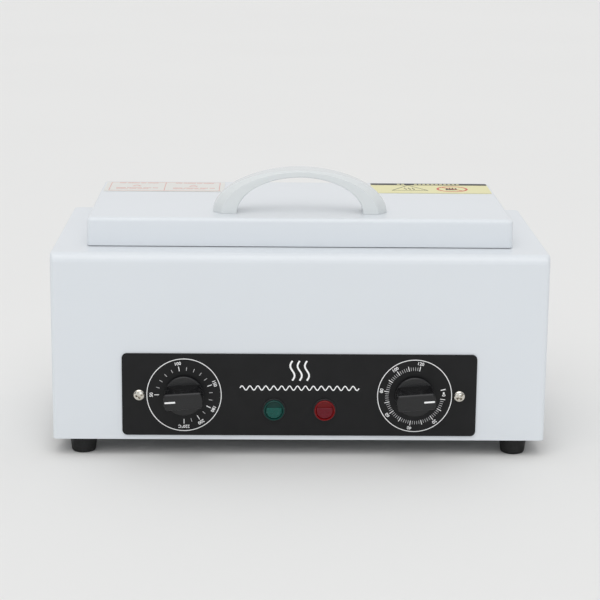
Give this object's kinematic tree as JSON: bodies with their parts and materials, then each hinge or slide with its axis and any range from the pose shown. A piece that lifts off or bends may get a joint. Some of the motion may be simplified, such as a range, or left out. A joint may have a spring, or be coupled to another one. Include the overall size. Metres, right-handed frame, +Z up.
{
  "type": "dry-heat steriliser cabinet",
  "caption": "White sheet-steel desktop steriliser box on rubber feet, with a heated steel chamber under a hinged top lid with a bow handle, and two dials on a black front panel.",
  "frame": {"origin": "centre of the bounding box on the surface that the feet stand on", "axes": "+X to the object's right as seen from the front, +Y from the front panel to the rear hinges, +Z up"},
  "size_m": [0.3408, 0.2074, 0.1938],
  "materials": {
    "shell_enamel": "white baked enamel on sheet steel, semi-gloss",
    "lid_enamel": "white baked enamel on sheet steel, semi-gloss",
    "handle_plastic": "white moulded plastic, glossy",
    "panel_black": "black printed metal plate, satin",
    "knob_black": "black moulded plastic, glossy",
    "black_plastic": "black moulded plastic, satin",
    "foot_rubber": "black rubber, matte",
    "stainless": "stainless steel sheet, satin",
    "nickel": "nickel-plated steel, bright",
    "zinc_steel": "zinc-plated steel",
    "brass": "brass",
    "copper": "bare copper tube",
    "mica": "pressed mica sheet",
    "glass_wool": "needled glass-fibre mat",
    "gasket": "heat-resistant silicone seal",
    "lens_green": "green translucent lens",
    "lens_red": "red translucent lens",
    "label_cream": "printed vinyl label",
    "label_yellow": "printed vinyl label",
    "porcelain": "glazed ceramic",
    "wire_brown": "silicone wire insulation",
    "wire_blue": "silicone wire insulation",
    "wire_green": "silicone wire insulation"
  },
  "bodies": {
    "cabinet": {"outer_shell": "shell_enamel", "control_panel": "panel_black", "green_lamp_body": "black_plastic", "red_lamp_body": "black_plastic", "power_inlet": "black_plastic", "foot_front_left": "foot_rubber", "foot_front_right": "foot_rubber", "foot_rear_left": "foot_rubber", "foot_rear_right": "foot_rubber", "chamber_liner": "stainless", "instrument_tray": "stainless", "panel_screw_left": "nickel", "panel_screw_right": "nickel", "live_pin": "nickel", "neutral_pin": "nickel", "earth_pin": "nickel", "inlet_screw_left": "nickel", "inlet_screw_right": "nickel", "base_plate": "zinc_steel", "base_screw_left": "zinc_steel", "base_screw_right": "zinc_steel", "thermostat_body": "zinc_steel", "timer_body": "zinc_steel", "heater_clamp": "zinc_steel", "heater_nut_left": "zinc_steel", "heater_nut_right": "zinc_steel", "foot_screw_front_left": "zinc_steel", "foot_screw_front_right": "zinc_steel", "foot_screw_rear_left": "zinc_steel", "foot_screw_rear_right": "zinc_steel", "cabinet_hinge_leaf_left": "zinc_steel", "cabinet_hinge_leaf_right": "zinc_steel", "hinge_pin_left": "zinc_steel", "hinge_pin_right": "zinc_steel", "earth_screw": "brass", "thermostat_capillary": "copper", "heater_plate": "mica", "insulation_jacket": "glass_wool", "green_lamp_lens": "lens_green", "red_lamp_lens": "lens_red", "thermal_cutout": "porcelain", "terminal_block": "porcelain", "live_wire": "wire_brown", "neutral_wire": "wire_blue", "earth_wire": "wire_green"},
    "lid": {"lid_shell": "lid_enamel", "lid_inner_panel": "stainless", "lid_insulation": "glass_wool", "lid_gasket": "gasket", "lid_handle": "handle_plastic", "handle_screw_left": "zinc_steel", "handle_screw_right": "zinc_steel", "program_label": "label_cream", "warning_label": "label_yellow", "lid_hinge_leaf_left": "zinc_steel", "lid_hinge_leaf_right": "zinc_steel"},
    "thermostat_dial": {"thermostat_knob": "knob_black", "thermostat_shaft": "zinc_steel"},
    "timer_dial": {"timer_knob": "knob_black", "timer_shaft": "zinc_steel"}
  },
  "joints": [
    {"name": "lid_hinge", "type": "hinge", "parent": "cabinet", "child": "lid", "pos_m": [0, 0.1005, 0.1435], "axis": [-1, 0, 0], "range_deg": [0, 100]},
    {"name": "thermostat_turn", "type": "hinge", "parent": "cabinet", "child": "thermostat_dial", "pos_m": [-0.0795, -0.0857, 0.0442], "axis": [0, 1, 0], "range_deg": [0, 276]},
    {"name": "timer_turn", "type": "hinge", "parent": "cabinet", "child": "timer_dial", "pos_m": [0.0795, -0.0857, 0.0442], "axis": [0, 1, 0], "range_deg": [-8, 285]}
  ]
}
